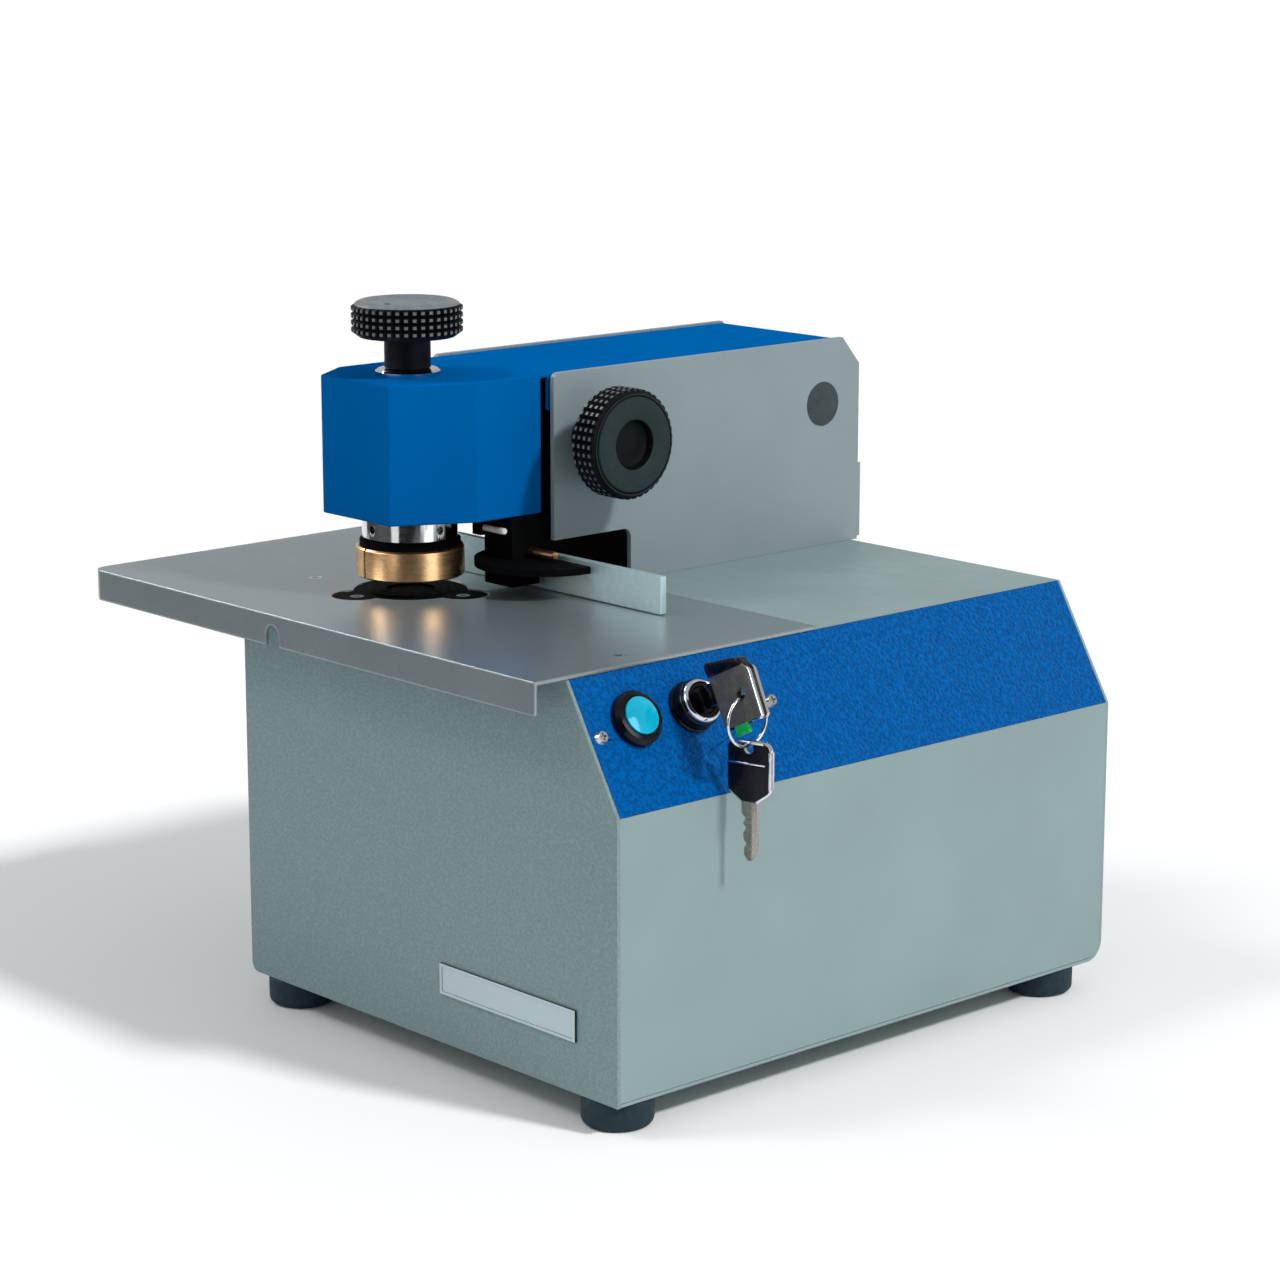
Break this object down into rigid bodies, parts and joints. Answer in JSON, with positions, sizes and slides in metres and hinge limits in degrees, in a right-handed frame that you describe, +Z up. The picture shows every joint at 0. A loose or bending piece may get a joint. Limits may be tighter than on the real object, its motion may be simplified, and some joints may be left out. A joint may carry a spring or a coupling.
{
  "type": "benchtop stamping press",
  "caption": "Benchtop electric stamping press with a work table, arm, die head, paper stop, pressure and stop knobs, push button and key switch.",
  "frame": {"origin": "on the surface the press stands on, at the middle of the whole press seen from above", "axes": "+Z up; the front with the blank nameplate faces -Y; the control side with the button and key switch faces +X"},
  "size_m": [0.4475, 0.392, 0.3858],
  "materials": {
    "case_grey": "smooth grey enamel",
    "hammer_grey": "grey hammertone enamel",
    "hammer_blue": "blue hammertone enamel",
    "cover_blue": "blue fine-texture enamel",
    "table_steel": "brushed zinc-plated steel sheet",
    "bright_steel": "turned and ground steel",
    "chrome": "polished chrome",
    "brass": "turned brass",
    "black_oxide": "black oxide steel",
    "iron": "dark machined iron",
    "foot_rubber": "moulded rubber",
    "knob_black": "black moulded plastic, knurled rim",
    "switch_black": "black gloss plastic",
    "lens_teal": "turquoise translucent push button lens",
    "plate_silver": "anodised aluminium nameplate, blank",
    "board_green": "circuit board",
    "spring_steel": "spring wire"
  },
  "bodies": {
    "case": {"base_shell": "case_grey", "front_panel": "hammer_grey", "rear_panel": "case_grey", "bottom_pan": "case_grey", "control_panel": "hammer_blue", "case_screws": "bright_steel", "feet": "foot_rubber", "nameplate": "plate_silver", "work_table": "table_steel", "table_bracket": "case_grey", "press_frame_left": "black_oxide", "press_frame_right": "black_oxide", "frame_ties": "iron", "anvil": "iron", "die_plate": "black_oxide", "lower_die": "black_oxide", "head_block": "black_oxide", "arm_plate_left": "case_grey", "arm_plate_right": "case_grey", "arm_cover": "cover_blue", "arm_rear_panel": "case_grey", "throat_cover": "black_oxide", "pivot_shaft": "bright_steel", "pivot_caps": "iron", "carriage_rails": "chrome", "knob_bush": "brass", "spindle_washer": "chrome", "shaft_bearings": "bright_steel", "gear_motor": "iron", "motor_bracket": "bright_steel", "control_board": "board_green", "button_bezel": "switch_black", "lock_body": "switch_black", "mains_inlet": "switch_black"},
    "cam_train": {"cam_shaft": "bright_steel", "cam_disc": "iron", "drive_gear": "bright_steel"},
    "motor_shaft": {"motor_pinion": "brass"},
    "pull_rod": {"pull_rod": "bright_steel", "return_spring": "spring_steel"},
    "roller": {"cam_roller": "bright_steel"},
    "rocker": {"rocker_lever": "iron", "rod_pin": "bright_steel"},
    "ram": {"ram_shaft": "chrome", "ram_collar": "chrome", "upper_die": "black_oxide", "die_ring": "brass"},
    "top_knob": {"top_knob": "knob_black", "adjust_spindle": "bright_steel"},
    "stop_nut": {"stop_nut": "brass"},
    "side_knob": {"side_knob": "knob_black", "knob_pinion": "bright_steel"},
    "paper_stop": {"stop_carriage": "black_oxide", "fence": "bright_steel", "fence_pins": "brass"},
    "button": {"button_lens": "lens_teal"},
    "lock": {"lock_cylinder": "chrome", "key": "switch_black"},
    "key_ring": {"key_ring": "chrome"},
    "spare_key": {"spare_key": "bright_steel"}
  },
  "joints": [
    {"name": "cam_spin", "type": "hinge", "parent": "case", "child": "cam_train", "pos_m": [-0.06, 0.075, 0.13], "axis": [1, 0, 0], "range_deg": [0, 150]},
    {"name": "motor_spin", "type": "hinge", "parent": "case", "child": "motor_shaft", "pos_m": [-0.005, -0.00294, 0.085], "axis": [1, 0, 0], "range_deg": [-600, 0]},
    {"name": "rod_slide", "type": "slide", "parent": "case", "child": "pull_rod", "axis": [0, 0, -1], "range_m": [0, 0.00269], "deforming": ["return_spring"]},
    {"name": "roller_spin", "type": "hinge", "parent": "pull_rod", "child": "roller", "pos_m": [-0.06, 0.075, 0.09685], "axis": [1, 0, 0], "range_deg": [-420, 0]},
    {"name": "rocker_swing", "type": "hinge", "parent": "case", "child": "rocker", "pos_m": [-0.06, 0.163, 0.309], "axis": [1, 0, 0], "range_deg": [0, 1.75]},
    {"name": "ram_slide", "type": "slide", "parent": "case", "child": "ram", "axis": [0, 0, -1], "range_m": [0, 0.008]},
    {"name": "top_knob_turn", "type": "hinge", "parent": "case", "child": "top_knob", "pos_m": [-0.06, -0.0985, 0.36], "axis": [0, 0, 1], "range_deg": [-360, 360]},
    {"name": "stop_nut_slide", "type": "slide", "parent": "case", "child": "stop_nut", "axis": [0, 0, 1], "range_m": [-0.00125, 0.00125]},
    {"name": "side_knob_turn", "type": "hinge", "parent": "case", "child": "side_knob", "pos_m": [-0.0053, -0.018, 0.3095], "axis": [1, 0, 0], "range_deg": [0, 191]},
    {"name": "paper_stop_slide", "type": "slide", "parent": "case", "child": "paper_stop", "axis": [0, 1, 0], "range_m": [0, 0.04]},
    {"name": "button_press", "type": "slide", "parent": "case", "child": "button", "axis": [-0.8595, 0, -0.5111], "range_m": [0, 0.003], "stiffness_N_per_m": 400, "springref_m": -0.001},
    {"name": "lock_turn", "type": "hinge", "parent": "case", "child": "lock", "pos_m": [0.16923, -0.1045, 0.20317], "axis": [0.8595, 0, 0.5111], "range_deg": [0, 30]},
    {"name": "key_ring_swing", "type": "hinge", "parent": "lock", "child": "key_ring", "pos_m": [0.2075, -0.1045, 0.21708], "axis": [0, 1, 0], "range_deg": [-25, 1]},
    {"name": "spare_key_swing", "type": "hinge", "parent": "key_ring", "child": "spare_key", "pos_m": [0.2075, -0.09999, 0.18907], "axis": [-0.2588, 0.9659, 0], "range_deg": [-20, 0]}
  ],
  "couplings": [
    {"joint": "motor_spin", "follows": "cam_spin", "ratio": -4},
    {"joint": "rod_slide", "follows": "cam_spin", "m_per_rad": 0.0010283},
    {"joint": "roller_spin", "follows": "cam_spin", "ratio": -2.8},
    {"joint": "rocker_swing", "follows": "cam_spin", "ratio": 0.011687},
    {"joint": "ram_slide", "follows": "cam_spin", "m_per_rad": 0.0030558},
    {"joint": "top_knob_turn", "follows": "stop_nut_slide", "rad_per_m": -5026.5},
    {"joint": "side_knob_turn", "follows": "paper_stop_slide", "rad_per_m": 83.333}
  ]
}
